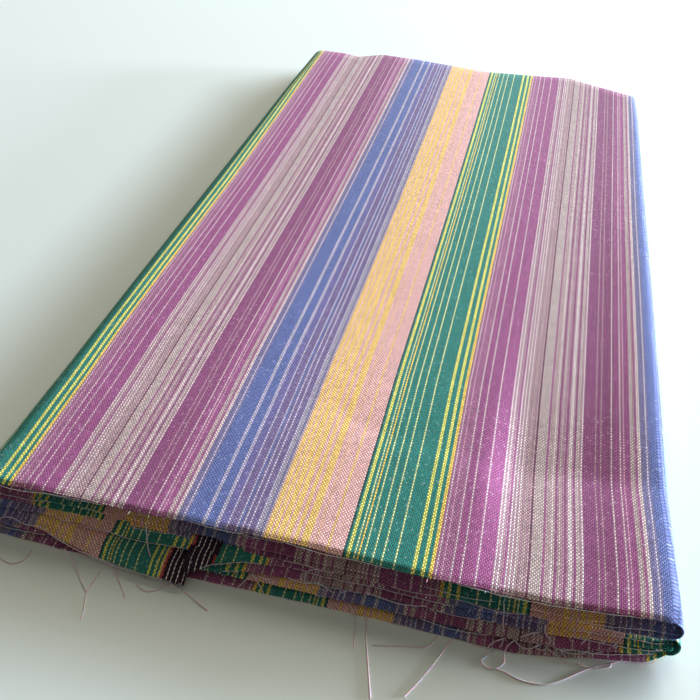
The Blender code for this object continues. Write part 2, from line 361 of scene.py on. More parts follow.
def yarnTone(tree, across, along, thread, pick, chance):
    # Each thread and pick has a tone of its own that drifts along it, and each crossing
    # is a little lighter or darker than its neighbours
    byThread, byPick, least = weave["tone"]
    alongThread, besideThread = weave["threadDrift"]
    alongPick, besidePick = weave["pickDrift"]
    threadPair = pairOf(tree, thread, times(tree, along, alongThread))
    threadTone = softNoise(tree, threadPair, besideThread, 3.0)
    pickPair = pairOf(tree, times(tree, across, alongPick), times(tree, pick, besidePick))
    pickTone = softNoise(tree, pickPair, 1.0)
    tone = plus(tree, times(tree, threadTone, byThread), times(tree, pickTone, byPick))
    byChance, leastChance = weave["crossingTone"]
    crossingTone = plus(tree, times(tree, chance, byChance), leastChance)
    return times(tree, plus(tree, tone, least), crossingTone)


def fleckShare(tree, place, chance):
    def shows(value, limits):
        return times(tree, calculate(tree, "GREATER_THAN", value, limits[0]), limits[1])
    soft = shows(softNoise(tree, place, flecks["grain"], 1.0), flecks["soft"])
    return calculate(tree, "MAXIMUM", soft, shows(chance, flecks["crossing"]))


def makeCotton():
    material = bpy.data.materials.new("stripedCotton")
    material.use_nodes = True
    tree = material.node_tree
    shader = tree.nodes["Principled BSDF"]
    place = addNode(tree, "ShaderNodeUVMap", uv_map="weave").outputs[0]
    parts = addNode(tree, "ShaderNodeSeparateXYZ")
    tree.links.new(place, parts.inputs[0])
    across, along = parts.outputs[0], parts.outputs[1]

    # Threads and picks in plain weave, the picks a little uneven as on a hand loom
    wander = times(tree, minus(tree, softNoise(tree, place, 3.0), 0.5), weave["wander"])
    pickPlace = times(tree, plus(tree, along, wander), float(weave["picks"]))
    threadPlace = times(tree, across, float(weave["threads"]))
    thread = calculate(tree, "FLOOR", threadPlace)
    pick = calculate(tree, "FLOOR", pickPlace)
    weftOver = calculate(tree, "FLOORED_MODULO", plus(tree, thread, pick), 2.0)
    threadDip = dipAcross(tree, threadPlace, thread)
    pickDip = dipAcross(tree, pickPlace, pick)
    warpHeight = crossingHeight(tree, weave["warpHeight"], threadDip, pickDip)
    weftHeight = crossingHeight(tree, weave["weftHeight"], threadDip, pickDip)
    warpPart = times(tree, warpHeight, minus(tree, 1.0, weftOver))
    height = plus(tree, warpPart, times(tree, weftHeight, weftOver))

    warp = warpColour(tree, across, thread)
    weft = mixColours(tree, weave["weftShows"], warp, weave["weft"])
    colour = mixColours(tree, weftOver, warp, weft)
    whiteNoise = addNode(tree, "ShaderNodeTexWhiteNoise", noise_dimensions="2D")
    tree.links.new(pairOf(tree, thread, pick), whiteNoise.inputs["Vector"])
    chance = whiteNoise.outputs["Value"]
    # Painted light and shade of the weave's relief: raised crossings are lighter, and the sides of
    # threads and the lower crossings are darker. This is multiplied by the tone that differs at
    # random from thread to thread.
    byHeight, lowest = weave["shade"]
    shade = plus(tree, times(tree, height, byHeight), lowest)
    paintedShadeAndTone = times(tree, shade, yarnTone(tree, across, along, thread, pick, chance))
    grey = addNode(tree, "ShaderNodeCombineColor")
    for socket in grey.inputs[:3]:
        tree.links.new(paintedShadeAndTone, socket)
    colour = mixColours(tree, 1.0, colour, grey.outputs[0], how="MULTIPLY")
    colour = mixColours(tree, fleckShare(tree, place, chance), colour, flecks["colour"])
    tree.links.new(colour, shader.inputs["Base Color"])

    woven = addBump(tree, height, *relief["weave"])
    wide = softNoise(tree, place, relief["cockleGrain"], 3.0)
    tree.links.new(addBump(tree, wide, *relief["cockle"], under=woven), shader.inputs["Normal"])
    for name, value in cottonLook.items():
        shader.inputs[name].default_value = value
    return material


# The folded cloth

cloth = {
    "thickness": 0.45 * mm,
    "solidThickness": 1.2 * mm,         # of the sheet in the solids
    "pitch": 2.3 * mm,                  # between neighbouring thicknesses
    "bottomLevel": 0.6 * mm,            # of the lowest thickness's middle
    "levels": {"bottom": 0.5, "middle": 2.5, "second": 4.5, "top": 6.5},
    "selvageLeft": 106.5 * mm,
    "selvageRight": 103.0 * mm,
    # how much further each thickness reaches at the selvages, outer and inner
    "leftReach": (3.0 * mm, 0.0),
    "rightReach": (13 * mm, 3.0 * mm),
    "reachFade": 60 * mm,
    "overlapLift": 0.78 * mm,           # of one selvage where it lies on the other
    "overlapFrom": (96, 10),
    "lowest": 0.28 * mm,
    "lowerFoldProud": ((0, 0.9), (45, 2.8)),    # past the upper fold at the right, by y
    "frontSag": 0.05,
    "sagReach": 60 * mm,
    "swell": 0.025,
    "swellAcross": (239 * mm, 0.8),     # wave length and start
    "swellAlong": (482 * mm, 0.5),
    # the bottom layer lifts off the table at the right front corner
    "cornerLift": 1.7 * mm,
    "cornerAcross": (244, 14),          # where it starts, and over how many millimetres
    "cornerAlong": (24, 26),
    # the pack is a little thicker towards its right-hand folds
    "rightRise": 1.0 * mm,
    "riseAcross": (250, 28),
    "riseAlong": (300, 100),
    # the cut edges beside the selvages droop by so much, past y, over a length
    "thirdDroop": (2.0 * mm, -11.0 * mm, 8.0 * mm),
    "innerDroop": (2.6 * mm, -10.6 * mm, 5.0 * mm),
    "dipGrain": (0.022, 0.008),         # length of the coarse and fine waves of the cut edges
    "fray": 0.35 * mm,                  # how uneven the cut edges are
    "frayGrain": (0.009, 0.0025),
    "frayReach": 0.02,
    "rowsLength": 0.4605,               # of the tables of rows, stretched to the cloth
    "blendLength": 0.46,                # over which the inner stripes come under the outer ones
    "farPlace": 0.44,                   # y at which the layers are compared with the far fold
    "farBendSteps": 6,
}
# How far a cut edge droops in millimetres, over what length, and the seed of its unevenness
frontDips = {
    "top": (0.5, 2.2, 1), "second": (1.2, 6, 2), "third": (1.0, 6, 3), "inner": (0.9, 6, 5),
    "bottom": (0.3, 6, 6),
}
# (y, left fold, right fold)
sides = (
    (-15, 0.5, 287.2), (0, 2.0, 287.0), (20, 4.9, 286.2), (65, 6.2, 284.3), (145, 6.6, 283.0),
    (280, 7.8, 281.6), (400, 8.8, 280.2), (470, 11.0, 277.0),
)
# (x, y) of the far fold
farEdge = (
    (0, 470.0), (22, 471.5), (40, 469.5), (53, 465.0), (72, 474.0), (100, 470.5), (135, 463.5),
    (165, 457.5), (200, 458.0), (229, 459.0), (250, 448.0), (266, 440.5), (288, 431.0),
)
# Millimetres by which each layer's far fold stands behind or before that line
farOffsets = {"bottom": 1.5, "inner": -4.0, "third": -2.5, "second": -3.0, "top": 0.0}
# (x, y of the upper thickness, y of the lower one)
cutEdges = {
    "top": (
        (0, -2.5, -0.5), (40, -0.9, 1.0), (80, -0.6, 1.2), (105, 0.4, 2.0), (150, 0.9, 2.2),
        (200, -0.8, 1.0), (250, 0.4, 2.0), (272, 2.3, 3.6), (290, 2.6, 4.0),
    ),
    "second": (
        (0, -2.2, -3.4), (40, -1.6, -3.0), (80, -1.0, -2.4), (120, -1.4, -2.2),
        (160, -1.6, -2.8), (205, -1.2, -2.4), (250, -0.4, -1.6), (290, 1.6, 0.6),
    ),
    "third": (
        (0, -6.4, -8.6), (22, -6.6, -10.0), (38, -5.4, -10.6), (60, -6.6, -15.0),
        (75, -7.0, -17.2), (90, -6.6, -18.4), (106, -6.2, -19.2),
    ),
    "inner": (
        (102, -15.0, -12.4), (110, -14.6, -12.0), (117, -10.4, -11.0), (128, -6.0, -8.4),
        (150, -3.8, -6.4), (205, -4.2, -6.0), (250, -3.0, -4.8), (278, -1.2, -2.8),
        (290, 3.0, 1.0),
    ),
    "bottom": (
        (0, -11.8, -13.6), (30, -12.0, -14.8), (75, -12.2, -15.4), (110, -11.2, -14.2),
        (150, -10.2, -13.2), (185, -10.0, -13.0), (230, -9.8, -13.6), (255, -8.0, -9.8),
        (268, -5.8, -7.7), (278, -3.8, -6.0), (282, -1.6, -2.4), (290, 1.6, 0.8),
    ),
}
# Where on the pattern each layer is: which way the pattern runs, then (x, millimetres to add)
# for the outer and the inner thickness
topPlaces = (
    (24.5, 0), (43.5, 2.5), (97, 4.2), (132.5, 1.6), (150, 0.6), (165, 0.15), (191.5, 0.6),
    (198.5, 0.5), (220, 1.0), (276, 0), (290, 0),
)
secondPlaces = (
    (12, 590), (32, 581), (65, 579), (73, 575), (94, 577), (122, 572), (202, 576), (235, 574.5),
    (261, 570), (281, 567),
)
patternPlaces = {
    "inner": (
        1,
        ((103, -638.5), (116, -638.5), (136, -637), (157, -633), (179, -629), (205, -630),
         (225, -632), (243, -633), (268, -629), (281, -626)),
        ((105, -628.6), (128, -628.6), (179, -628), (205, -629), (225, -632), (243, -633),
         (268, -629), (281, -626)),
    ),
    "bottom": (
        -1,
        ((14, 6), (26, -44), (70, -33), (100, -25), (132, -19), (161, -24), (173, -25.6),
         (187, -29), (216, -35), (248, -43), (281, -50)),
        ((14, 6), (26, -48), (60, -50), (97, -54), (99, -92), (108, -92), (115, -56),
         (157, -59), (281, -59)),
    ),
    "top": (1, topPlaces, topPlaces),
    "second": (-1, secondPlaces, secondPlaces),
    "third": (
        1,
        ((12, 618), (39, 620), (57, 620), (74, 619), (90, 619.5), (104, 620), (124, 620.5)),
        ((12, 618), (36, 623), (69, 621), (90, 626), (96, 628.6), (124, 629)),
    ),
}
# The stripes of the top don't run quite straight: millimetres to the right at each y and x
driftPlaces = (24, 65, 115, 150, 196, 225, 255, 275)
drift = (
    (15, (0, 0, 0, 0, 0, 0, 0, 0)),
    (60, (0, 0, 0.2, 0.2, -0.5, -1.2, -2.0, -2.0)),
    (100, (-1.0, -0.5, 0, 0, -1.0, -2.0, -2.7, -2.7)),
    (150, (-1.0, -0.2, 0.75, 0.75, -0.75, -2.0, -3.0, -3.0)),
    (250, (-0.5, 0.25, 1.5, 1.5, 0, -1.5, -2.75, -3.5)),
    (350, (-1.5, 0, 1.75, 1.5, 0.75, -0.75, -2.0, -3.5)),
    (440, (-2.75, -0.75, 1.25, 1.0, 1.0, 0, -1.75, -3.5)),
)
# Soft dents of the top: ends (x, y), depth, half width towards the front and the back
creases = (
    ((132, 70), (197, 57), 0.3, 4, 9),
    ((197, 57), (240, 58), 0.35, 5, 16),
    ((228, 58), (292, 62), 0.3, 5, 10),
    ((40, 66), (132, 62), 0.15, 5, 8),
)
# Wide dents that press down every layer
troughs = (
    ((226, 58), (292, 63), 3.2, 40, 42),
)
layerLevels = {
    "inner": "middle", "third": "middle", "bottom": "bottom", "second": "second", "top": "top",
}


def run(layer, start, end, steps):
    # One flat layer of the pack
    return {
        "kind": "run", "layer": layer, "level": layerLevels[layer], "ends": (start, end),
        "steps": steps,
    }


def fold(at, before, after, steps):
    return {"kind": "fold", "at": at, "from": before, "to": after, "steps": steps}


# The doubled cloth from one selvage to the other, each part with its number of steps
pathPieces = (
    run("inner", "selvageLeft", "lowerRight", 44),
    fold("lowerRight", "inner", "bottom", 10),
    run("bottom", "lowerRight", "left", 72),
    fold("left", "bottom", "top", 16),
    run("top", "left", "upperRight", 112),
    fold("upperRight", "top", "second", 10),
    run("second", "upperRight", "left", 72),
    fold("left", "second", "third", 8),
    run("third", "left", "selvageRight", 30),
)
# Which way the path runs in each layer
goesRight = {"inner": 1, "bottom": -1, "top": 1, "second": -1, "third": 1}
# Distance in millimetres from the cut edge of each row of points, outside and inside
outerRows = (
    0, 0.3, 0.8, 1.4, 2.2, 3.1, 4.2, 5.5, 7.2, 9.5, 13, 17, 22, 28, 34, 40, 45, 49, 53, 56, 59, 62,
    65, 69, 74, 80, 87, 94, 102, 110, 120, 132, 146, 162, 180, 200, 222, 245, 268, 291, 314, 337,
    360, 383, 405, 425, 440, 452,
)
innerRows = (
    0, 0.3, 0.8, 1.4, 2.2, 3.1, 4.2, 5.5, 7.2, 9.5, 13, 18, 26, 40, 70, 120, 180, 240, 300, 360,
    410, 445,
)


def levelOf(name):
    return cloth["bottomLevel"] + cloth["levels"][name] * cloth["pitch"]


smallFold = (levelOf("top") - levelOf("second")) / 2
wrapFold = (levelOf("top") - levelOf("bottom")) / 2
halfPitch = cloth["pitch"] / 2
outerProud = (cloth["solidThickness"] - cloth["thickness"]) / 2


def endOf(name, y):
    # The x at which a run starts or ends
    if name in ("selvageLeft", "selvageRight"):
        return cloth[name]
    if name == "left":
        return fromTable(sides, y / mm, 1) * mm + cloth["solidThickness"] / 2 + halfPitch + wrapFold
    proud = fromTable(cloth["lowerFoldProud"], y / mm) * mm if name == "lowerRight" else 0
    right = fromTable(sides, y / mm, 2) * mm + proud
    return right - cloth["solidThickness"] / 2 - halfPitch - smallFold


def cutOf(layer, x, facing, face):
    side = 1 if facing * face > 0 else 2
    return fromTable(cutEdges[layer], x / mm, side) * mm


def middleLine(piece, share, y):
    # (x, z) of the doubled cloth's middle, and its left-hand normal
    if piece["kind"] == "run":
        start, end = (endOf(name, y) for name in piece["ends"])
        upwards = 1.0 if end > start else -1.0
        return start + (end - start) * share, levelOf(piece["level"]), 0.0, upwards
    low, high = levelOf(layerLevels[piece["from"]]), levelOf(layerLevels[piece["to"]])
    radius = abs(high - low) / 2
    outward = -1.0 if piece["at"] == "left" else 1.0
    upward = 1.0 if high > low else -1.0
    angle = math.pi * share
    turn = 1.0 if outward * upward < 0 else -1.0
    x = endOf(piece["at"], y) + outward * radius * math.sin(angle)
    z = (low + high) / 2 - upward * radius * math.cos(angle)
    return x, z, turn * outward * math.sin(angle), -turn * upward * math.cos(angle)


def endsInY(piece, share, face):
    # y of the cut edge and of the far fold on one line along the cloth
    if piece["kind"] == "run":
        x = middleLine(piece, share, 0.0)[0]
        farX = middleLine(piece, share, cloth["farPlace"])[0]
        far = fromTable(farEdge, farX / mm) + farOffsets[piece["layer"]]
        return cutOf(piece["layer"], x, goesRight[piece["layer"]], face), far * mm
    x, farX = endOf(piece["at"], 0.0), endOf(piece["at"], cloth["farPlace"])
    first = cutOf(piece["from"], x, goesRight[piece["from"]], face)
    last = cutOf(piece["to"], x, goesRight[piece["to"]], face)
    far = fromTable(farEdge, farX / mm)
    firstFar, lastFar = far + farOffsets[piece["from"]], far + farOffsets[piece["to"]]
    soft = smoothStep(share)
    return first + (last - first) * soft, (firstFar + (lastFar - firstFar) * soft) * mm


def driftAt(x, y):
    rows = [(row[0], float(np.interp(x, driftPlaces, row[1]))) for row in drift]
    return fromTable(rows, y)


def patternPlace(piece, share, face, x, y):
    # Millimetres across the pattern at this point
    def ofRun(layer, atX, column):
        way, outside, inside = patternPlaces[layer]
        rows = outside if column > 0 else inside
        at = atX / mm
        if layer == "top":
            at -= driftAt(at, y / mm)
        return way * at + fromTable(rows, at)
    if piece["kind"] == "run":
        return ofRun(piece["layer"], x, face)
    end = endOf(piece["at"], y)
    first = ofRun(piece["from"], end, face)
    last = ofRun(piece["to"], end, face)
    return first + (last - first) * share


def dentDepth(dents, x, y):
    found = 0.0
    overrun = 0.25      # a dent fades out past its ends
    for start, end, depth, ahead, behind in dents:
        share = (x / mm - start[0]) / (end[0] - start[0])
        if -overrun < share < 1 + overrun:
            middle = start[1] + (end[1] - start[1]) * share + 3 * ripple(x, 0, 0.03, 4.0)
            away = y / mm - middle
            width = behind if away > 0 else ahead
            fade = smoothStep((share + overrun) / overrun)
            fade *= smoothStep((1 + overrun - share) / overrun)
            found = max(found, depth * fade * math.exp(-abs(away / width) ** 1.4))
    return found * mm


def frontDip(piece, x, back, face):
    # How far the cloth droops towards its cut edge, uneven along it
    depth, reach, layerSeed = frontDips[piece.get("layer", piece.get("to"))]
    seed = layerSeed + 0.3 * face
    coarse, fine = cloth["dipGrain"]
    uneven = 1 + 0.8 * ripple(x, 0, coarse, seed) + 0.5 * ripple(x, 0, fine, seed + 9)
    return depth * mm * uneven * (1 - smoothStep(back / (reach * mm)))


def wave(place, shape):
    length, start = shape
    return math.sin(2 * math.pi * place / length + start)


def toRight(x, name):
    start, length = cloth[name]
    return smoothStep((x / mm - start) / length)


def toFront(y, name):
    start, length = cloth[name]
    return smoothStep((start - y / mm) / length)


def droop(y, name):
    depth, start, length = cloth[name]
    return depth * smoothStep((start - y) / length)


def settled(x, y, z):
    # Height after the pack's own weight, its swell and its troughs
    edge = 1 - cloth["frontSag"] * smoothStep((cloth["sagReach"] - y) / cloth["sagReach"])
    swell = 1 + cloth["swell"] * wave(x, cloth["swellAcross"]) * wave(y, cloth["swellAlong"])
    lift = cloth["cornerLift"] * toRight(x, "cornerAcross") * toFront(y, "cornerAlong")
    rise = cloth["rightRise"] * toRight(x, "riseAcross") * toFront(y, "riseAlong")
    height = levelOf("top") + halfPitch
    pressed = 1 + (rise - lift - dentDepth(troughs, x, y)) / height
    return lift + (cloth["bottomLevel"] + (z - cloth["bottomLevel"]) * edge * swell) * pressed


def clothPoint(piece, share, face, back, bend):
    # A point of the sheet, and its place on the weave in repeats across and along. back is the
    # distance in metres from the cut edge, or None at the far end.
    layer = piece.get("layer")
    cut, far = endsInY(piece, share, face)
    y = far if back is None else cut + min(back / cloth["rowsLength"], 1.0) * (far - cut)
    x, z, normalX, normalZ = middleLine(piece, share, y)
    offset = halfPitch * face + (outerProud if face > 0 else 0)
    if bend:
        offset = halfPitch * math.cos(bend) + outerProud * (1 + math.cos(bend)) / 2
        y += (halfPitch + outerProud / 2) * math.sin(bend)
    if back is not None and back < cloth["frayReach"]:
        coarse, fine = cloth["frayGrain"]
        edgeNoise = ripple(x, z, coarse, 3 + face) + 0.6 * ripple(x, z, fine, 8 + face)
        y += cloth["fray"] * edgeNoise * (1 - back / cloth["frayReach"])
    # the two thicknesses part at the selvages, near the cut edges only
    near = 0 if back is None else 1 - smoothStep(back / cloth["reachFade"])
    side = 0 if face > 0 else 1
    further = 0.0
    if layer == "third":
        further = cloth["rightReach"][side] * share ** 2 * near
    if layer == "inner":
        further = -cloth["leftReach"][side] * (1 - share) ** 2 * near
    shownX = x + further
    place = patternPlace(piece, share, face, shownX, y)
    if face < 0 and back is not None:
        outer = patternPlace(piece, share, 1, shownX, y)
        place = outer + (place - outer) * (1 - min(back / cloth["blendLength"], 1))
    x += normalX * offset
    z += normalZ * offset
    x += further
    if layer == "third" and face > 0:
        z += cloth["overlapLift"] * near * toRight(x, "overlapFrom")
    wrap = piece["kind"] == "fold" and piece["at"] == "left" and piece["to"] == "top"
    if back is not None and not wrap:
        z -= frontDip(piece, x, back, face)
    if layer == "third" and face < 0 and not bend:
        z -= droop(y, "thirdDroop")
    if layer == "inner" and face > 0:
        z -= droop(y, "innerDroop")
    z = max(settled(x, y, z), cloth["lowest"])
    if layer == "top" and face > 0:
        z -= dentDepth(creases, x, y)
    return toFrame(x, y, z), place / weave["repeat"], y / mm / weave["repeat"]


def makeCloth(cotton):
    columns = []
    for piece in pathPieces:
        first = 1 if columns else 0
        columns += [(piece, step / piece["steps"]) for step in range(first, piece["steps"] + 1)]
    bendSteps = cloth["farBendSteps"] + 1
    bends = [math.pi * step / bendSteps for step in range(1, bendSteps)]
    rows = [(1, back * mm, 0.0) for back in outerRows] + [(1, None, 0.0)]
    rows += [(1, None, bend) for bend in bends]
    rows += [(-1, None, 0.0)] + [(-1, back * mm, 0.0) for back in reversed(innerRows)]
    across, along = len(columns), len(rows)
    bm = bmesh.new()
    bmesh.ops.create_grid(bm, x_segments=across - 1, y_segments=along - 1, size=1)
    weaveMap = bm.loops.layers.uv.new("weave")
    patternOf = {}
    for vert in bm.verts:
        column = round((vert.co.x + 1) / 2 * (across - 1))
        row = round((vert.co.y + 1) / 2 * (along - 1))
        piece, share = columns[column]
        face, back, bend = rows[row]
        vert.co, u, v = clothPoint(piece, share, face, back, bend)
        if face < 0:
            v = weave["doubledAt"] - v
        patternOf[vert] = (u, v)
    for item in bm.faces:
        for loop in item.loops:
            loop[weaveMap].uv = patternOf[loop.vert]
    bmesh.ops.recalc_face_normals(bm, faces=bm.faces)
    mesh = bpy.data.meshes.new("foldedCloth")
    bm.to_mesh(mesh)
    bm.free()
    mesh.shade_smooth()
    mesh.materials.append(cotton)
    folded = bpy.data.objects.new("foldedCloth", mesh)
    bpy.context.scene.collection.objects.link(folded)
    solid = folded.modifiers.new("thickness", "SOLIDIFY")
    solid.thickness = cloth["thickness"]
    solid.offset = 0
    solid.use_even_offset = False
    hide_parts("folded_cloth")
    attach(folded, "root")
    print("cloth:", across, "by", along, "points")
    return folded


# Loose yarns in front of the cut edges

yarnSizes = {
    "radius": 0.23 * mm,
    "threadShare": 0.6,         # of that radius, for a thread that lies along a cut edge
    "hairShare": 0.4,           # and for a frayed end
    "hairs": 240,
    "hairLengths": (0.5, 1.9),  # millimetres
    "step": 1.2 * mm,
    "edgeSteps": 160,           # along each run of a cut edge
    "looseGrain": 0.026,        # length of the loose parts of an edge thread
    "looseOut": (0.1, 1.6),     # millimetres they stand out, at the least and by looseness
    "looseDrop": 0.5,
    "hairAcross": (-0.8, 0.8),
    "hairUp": (-0.9, 0.3),
    "hairDroop": 0.25,          # of its length
}
yarnLook = {
    "Roughness": 0.75,
    "Sheen Weight": 0.3,
    "Subsurface Weight": 0.8,
    "Subsurface Scale": 0.0008,
}
# (x, y, z) in millimetres, from the pack outwards
floorYarns = {
    "forkLeft": (
        (53.3, -16.4, 3.2), (56.7, -18.1, 2), (60.2, -21, 0.6), (64.8, -25.4, 0.2),
        (69.7, -29.5, 0.2),
    ),
    "forkRight": (
        (70.7, -20.4, 0.2), (70.5, -23.9, 0.2), (70, -28.9, 0.2), (71.2, -32.9, 0.2),
        (72.9, -36.7, 0.2), (73.6, -40.2, 0.2),
    ),
    "shortLeft": (
        (75.2, -18, 0.8), (79.2, -21.7, 0.2), (84.2, -26.4, 0.2), (85.6, -28.2, 0.2),
    ),
    "whiteEnd": (
        (87.4, -15.1, 1.6), (88.7, -17.4, 0.6), (89.7, -19.6, 0.2),
    ),
    "arc136": (
        (87, -21.9, 0.2), (91.2, -23.6, 0.2), (94.1, -23.3, 0.2), (97.9, -21, 0.2),
        (99.8, -18.3, 0.4),
    ),
    "leftArc": (
        (28.6, -24.7, 0.2), (32.7, -25.9, 0.2), (36.3, -25.4, 0.2), (38.7, -22.8, 0.2),
        (39.3, -18.9, 0.8),
    ),
    "veeLeft": (
        (130.7, -8.8, 4), (128.6, -10.9, 2.2), (125.6, -14.5, 0.3),
    ),
    "veeRight": (
        (130.7, -8.8, 4), (133.9, -11.1, 2), (137.4, -14.5, 0.2),
    ),
    "smallCurl": (
        (133.8, -9.1, 3.6), (136.3, -9.1, 3.2), (139, -8.8, 3), (139.6, -9.6, 2.6),
        (137.3, -9.9, 2.8),
    ),
    "shortCross": (
        (165.4, -9.4, 1.8), (166.5, -7.6, 2.6), (169, -4.9, 4),
    ),
    "drop366": (
        (176.8, -13, 0.6), (178.5, -20, 0.2), (181.3, -28.9, 0.2), (185.4, -41.8, 0.2),
    ),
    "floorArc": (
        (204.2, -7.9, 1), (204.2, -12.5, 0.2), (202.2, -17.4, 0.2), (199.9, -19.4, 0.2),
        (193.3, -20.5, 0.2), (186.5, -22.1, 0.2), (181.6, -23.1, 0.2),
    ),
    "longBack": (
        (212.4, -4.2, 3.6), (211.9, -6.5, 2), (210.1, -12, 0.3), (207.4, -18, 0.2),
        (205.4, -22.3, 0.2), (200.8, -31.3, 0.2), (196.5, -38.3, 0.2),
    ),
    "tangle": (
        (221.8, -15.2, 0.3), (223.2, -12.5, 1), (226.5, -10.2, 1.8), (229.9, -9, 2.4),
        (231.4, -9.4, 2), (232.9, -10.6, 1.2), (235.3, -11.1, 0.7), (237.8, -10.4, 1.1),
        (239.4, -9.2, 1.8), (241.9, -8.4, 2.4), (242.9, -9.1, 1.6), (240.8, -10.5, 0.9),
        (239, -9.9, 1.2), (240.5, -8.8, 2),
    ),
    "crossA": (
        (243, -9.5, 1.4), (246.7, -10.9, 0.6), (249.9, -12.8, 0.2),
    ),
    "crossB": (
        (243.6, -7.6, 2.4), (247.3, -8.8, 1.4), (249.3, -10.7, 0.6), (250.3, -12.4, 0.2),
    ),
    "floorBit": (
        (253.3, -11.5, 0.2), (256.3, -12.3, 0.2), (260.8, -11.6, 0.2), (264.9, -10.1, 0.2),
        (265.3, -8.4, 0.2),
    ),
}
edgeYarns = {
    "thirdEdge": (
        (20.4, -10.4, 4.2), (23.5, -9.3, 4.6), (27.6, -9.5, 4.6), (31.9, -10.6, 4.4),
        (36.3, -10.3, 4.4), (40.9, -10.3, 4.4), (44.6, -11.9, 4), (49.5, -13.4, 3.6),
        (55.1, -14.7, 3.2), (59.9, -15.6, 2.8), (66.9, -16.3, 2.4), (72.6, -16.8, 2),
        (76.6, -17.6, 1.6), (80.4, -17.4, 1.6), (83, -16.2, 2), (84.5, -15.8, 2.4),
    ),
    "longPale": (
        (84.4, -2.4, 13), (86.5, -7.3, 8.5), (88.2, -10.5, 6), (91.6, -14.5, 3),
        (96.1, -16.7, 1.2), (101.6, -18.8, 0.3), (108.2, -20.9, 0.2), (113.4, -23.3, 0.2),
        (118.3, -25.2, 0.2),
    ),
    "t235": (
        (121.5, -2.5, 7.5), (120.2, -6.9, 4), (118.6, -11, 1.2),
    ),
    "bigLoop": (
        (177.2, 3.8, 12), (173.6, 2.6, 11), (169.1, 1.2, 10), (165.3, 2, 10), (162.5, 1.7, 9.6),
        (159, 0, 8.6), (155.6, -2.3, 7.4), (151.5, -3.7, 6.4), (151, -5.8, 5), (152, -7.9, 3.4),
        (154, -9.3, 2.4), (157.1, -10.1, 1.6), (161, -9.6, 1.6), (164, -8.4, 2.2),
        (167, -6.5, 3.2), (169.3, -3.9, 5),
    ),
    "throughLoop": (
        (144.4, -7, 4.2), (149.5, -7.6, 3.8), (152.4, -7.1, 3.8), (157.1, -6.4, 4),
        (160.4, -7.2, 3.2), (164.1, -8.5, 2.4), (167.5, -8.4, 1.8), (170, -10.4, 0.9),
        (172.3, -13.6, 0.3), (174, -18.6, 0.2), (175.4, -25.7, 0.2),
    ),
    "edge366": (
        (175.1, -5.9, 4.6), (180.6, -6.4, 4.2), (187.9, -6.9, 3.8), (194, -6.4, 4),
        (197.6, -5.7, 4.4), (200.6, -6.2, 3.6), (202.7, -7.4, 2.4),
    ),
    "loop505": (
        (225.3, 0, 10.5), (226, -2.9, 7.5), (226.4, -6.1, 4.4), (227.3, -8.8, 2),
        (226.8, -12.1, 0.5), (224.9, -14.4, 0.2), (222.1, -17, 0.2), (220.5, -18.9, 0.2),
        (221.7, -20.8, 0.2), (224, -21.2, 0.2), (226.5, -20.2, 0.2), (228.5, -17.8, 0.2),
        (228.1, -14.7, 0.4), (229.4, -11.4, 1.2), (232.2, -8.9, 2.4), (236.2, -6.7, 3.8),
        (239.6, -5.4, 4.4),
    ),
    "tangleTail": (
        (241.2, -3.3, 6.4), (241.3, -5.3, 4.6), (243.9, -7, 2.8), (243, -8.4, 2),
    ),
    "t590": (
        (256.5, -2.1, 7), (255.3, -4.8, 4.8), (252.3, -7.7, 2.6), (249.3, -8.8, 2),
        (245.5, -8.7, 2), (242.1, -8, 2.8),
    ),
    "t621": (
        (267.3, -1.6, 6.6), (265.6, -3.9, 4.6), (262.2, -6.1, 2.8), (258, -7.8, 1.8),
        (254.2, -8.7, 1.6), (249.9, -9.4, 1.6), (245.9, -8.8, 1.9),
    ),
    "t605": (
        (262.2, -3.6, 4.6), (259.1, -5.8, 3.2), (254.6, -8.6, 1.6),
    ),
    "rightCap": (
        (265.4, -4.2, 4.4), (267.3, -1.5, 6.4), (269.2, 0.4, 7.8), (272.7, -0.2, 6.8),
        (276.4, -0.9, 6), (280.8, -1.7, 5.2),
    ),
    "longRight": (
        (275, -1.7, 5), (271.5, -4.2, 2.6), (266.2, -8.2, 0.2), (258.4, -12.2, 0.2),
        (253.4, -15.6, 0.2), (248.9, -18.9, 0.2), (244, -21.7, 0.2), (239.8, -22.6, 0.2),
        (234.5, -22.6, 0.2), (228.8, -21.1, 0.2), (225.7, -20.8, 0.2),
    ),
}


def makeYarnMaterial():
    material = bpy.data.materials.new("weftYarn")
    material.use_nodes = True
    tree = material.node_tree
    shader = tree.nodes["Principled BSDF"]
    place = addNode(tree, "ShaderNodeTexCoord").outputs["Object"]
    tone = softNoise(tree, place, 900.0, 2.0)
    colour = mixColours(tree, tone, dye(236, 192, 216), dye(250, 232, 240))
    tree.links.new(colour, shader.inputs["Base Color"])
    for name, value in yarnLook.items():
        shader.inputs[name].default_value = value
    return material


def smoothRoute(points, step):
    # A curve through the points of a route, as short straight steps
    ends = [points[0]] + list(points) + [points[-1]]
    found = []
    for before, start, end, after in zip(ends, ends[1:], ends[2:], ends[3:]):
        count = max(1, round((end - start).length / step))
        for at in range(count):
            share = at / count
            found.append(
                0.5 * (2 * start + (end - before) * share
                       + (2 * before - 5 * start + 4 * end - after) * share ** 2
                       + (3 * start - before - 3 * end + after) * share ** 3)
            )
    found.append(points[-1])
    return found


def addRoute(curve, line, share=1.0):
    # No yarn sinks into the surface under the pack
    for point in line:
        point.z = max(point.z, yarnSizes["radius"])
    spline = curve.splines.new("POLY")
    spline.points.add(len(line) - 1)
    for point, co in zip(spline.points, line):
        point.co = (*co, 1)
        point.radius = share


def makeCurve(name, material):
    curve = bpy.data.curves.new(name, "CURVE")
    curve.dimensions = "3D"
    curve.bevel_depth = yarnSizes["radius"]
    curve.bevel_resolution = 0
    curve.use_fill_caps = True
    curve.materials.append(material)
    piece = bpy.data.objects.new(name, curve)
    bpy.context.scene.collection.objects.link(piece)
    return piece


